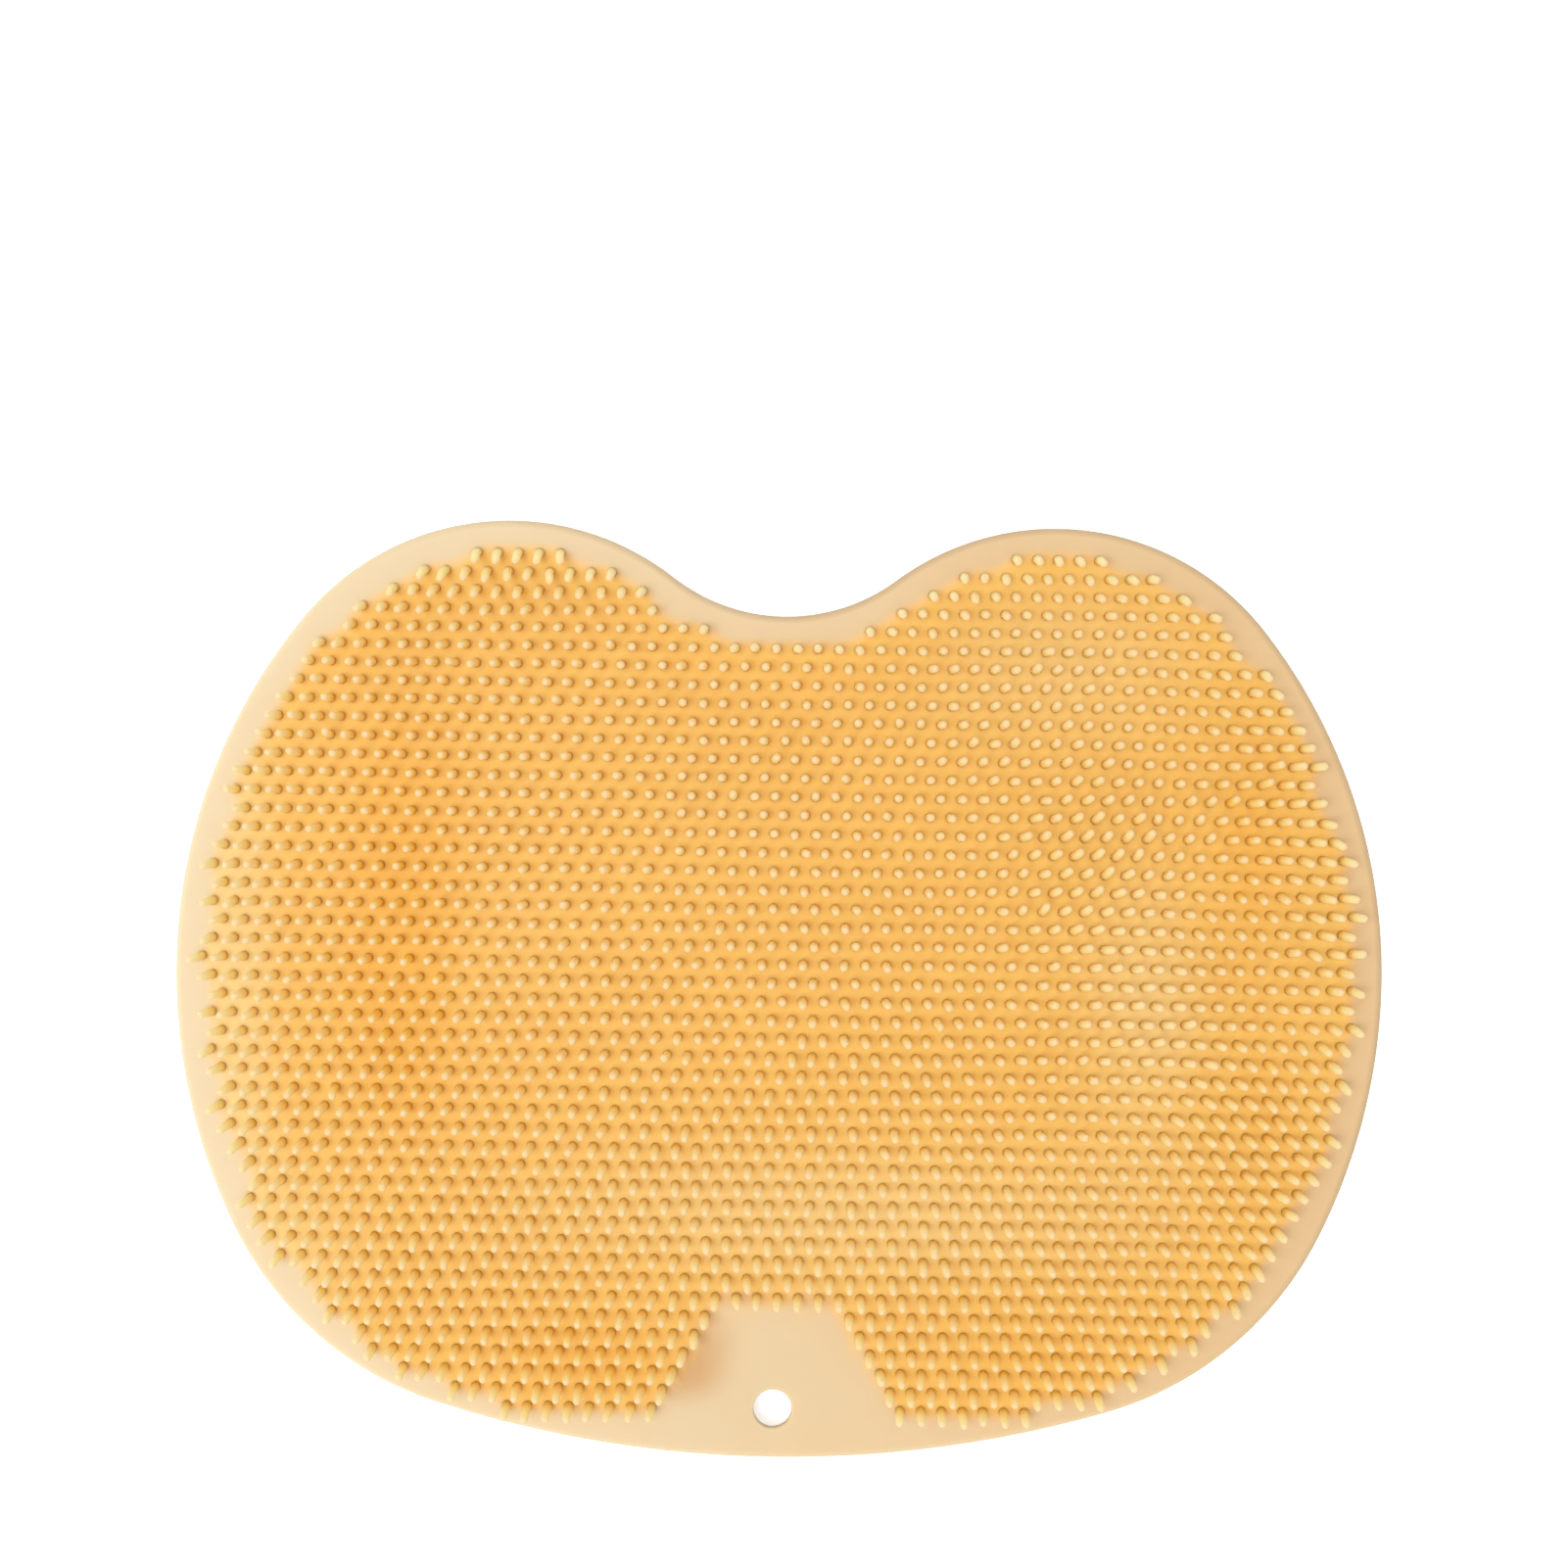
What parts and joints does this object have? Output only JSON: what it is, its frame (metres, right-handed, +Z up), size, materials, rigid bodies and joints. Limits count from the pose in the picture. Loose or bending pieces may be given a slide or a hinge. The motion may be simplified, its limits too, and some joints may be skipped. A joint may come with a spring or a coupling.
{
  "type": "shower foot scrubber",
  "caption": "Kidney-shaped silicone shower mat with a field of soft bristles that scrub both feet, suction cups underneath and a hang hole.",
  "frame": {"origin": "centre of the mat's bounding box, on the floor that the suction cups stand on", "axes": "+X across both feet, +Y from the heel edge with the hang hole to the toe lobes, +Z up through the bristles"},
  "size_m": [0.38, 0.294, 0.017],
  "materials": {
    "silicone": "satin, slightly translucent amber"
  },
  "bodies": {
    "root": {"scrubber_mat": "silicone"}
  },
  "joints": []
}
